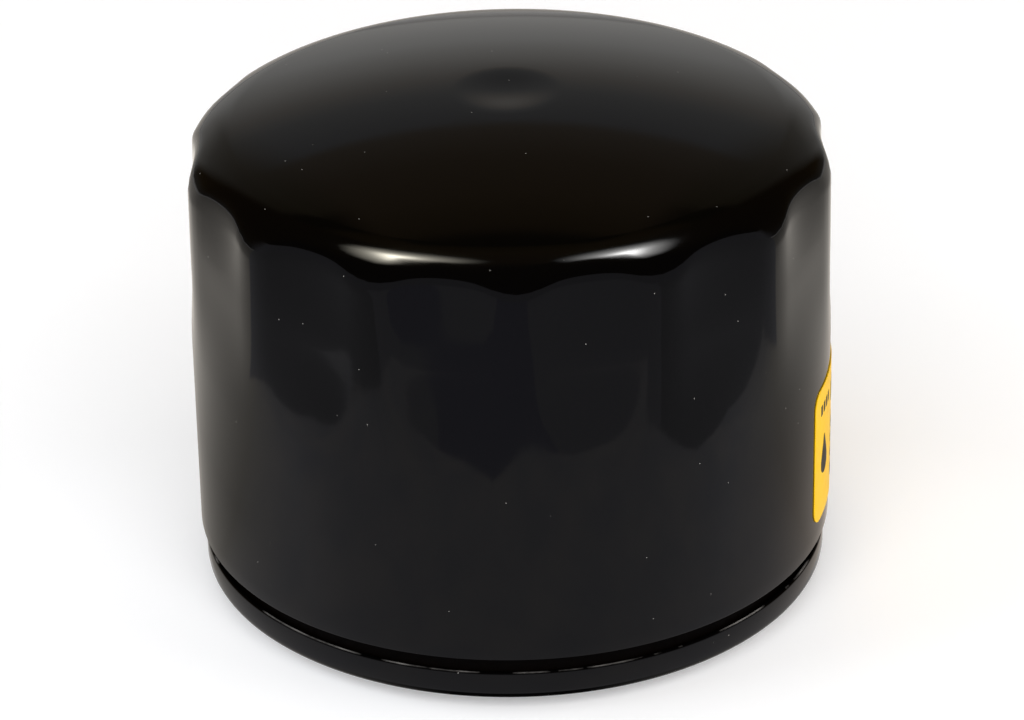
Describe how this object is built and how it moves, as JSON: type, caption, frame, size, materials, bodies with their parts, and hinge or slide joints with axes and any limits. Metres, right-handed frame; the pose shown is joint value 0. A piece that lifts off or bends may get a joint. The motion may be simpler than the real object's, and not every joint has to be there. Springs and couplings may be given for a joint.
{
  "type": "spin-on oil filter",
  "caption": "Short black spin-on oil filter: domed steel can with wrench flats over a rolled seam, base gasket, threaded plate, pleated element and two inner valves.",
  "frame": {"origin": "on the filter's axis, in the plane of the base gasket's sealing face, which is the lowest face", "axes": "+Z along the filter's axis from the sealing face to the dome; -Y is the side that the picture looks at, with the label on the +X side"},
  "size_m": [0.0762, 0.076, 0.0617],
  "materials": {
    "black_paint": "gloss",
    "gasket_rubber": "satin",
    "silicone_rubber": "satin",
    "zinc_plate": "satin",
    "tinned_sheet": "satin",
    "spring_steel": "satin",
    "filter_paper": "matte",
    "plastisol": "satin",
    "label_film": "satin"
  },
  "bodies": {
    "housing": {"can": "black_paint", "seaming_lid": "black_paint", "seam_compound": "plastisol", "base_gasket": "gasket_rubber", "tapping_plate": "zinc_plate", "drainback_valve_collar": "silicone_rubber", "lower_end_cap": "tinned_sheet", "upper_end_cap": "tinned_sheet", "lower_potting": "plastisol", "upper_potting": "plastisol", "pleated_media": "filter_paper", "media_seam_clip": "tinned_sheet", "center_tube": "tinned_sheet", "bypass_valve_cage": "tinned_sheet", "bypass_valve_seat": "tinned_sheet", "bypass_valve_spring": "spring_steel", "element_spring": "spring_steel", "label": "label_film"},
    "bypass_poppet": {"bypass_valve_poppet": "spring_steel", "bypass_valve_seal": "gasket_rubber"},
    "drainback_flap": {"drainback_valve_flap": "silicone_rubber"}
  },
  "joints": [
    {"name": "bypass_opening", "type": "slide", "parent": "housing", "child": "bypass_poppet", "axis": [0, 0, -1], "range_m": [0, 0.003], "stiffness_N_per_m": 800, "springref_m": -0.001, "deforming": ["bypass_valve_spring"]},
    {"name": "drainback_lift", "type": "slide", "parent": "housing", "child": "drainback_flap", "axis": [0, 0, 1], "range_m": [0, 0.0013], "stiffness_N_per_m": 200}
  ]
}
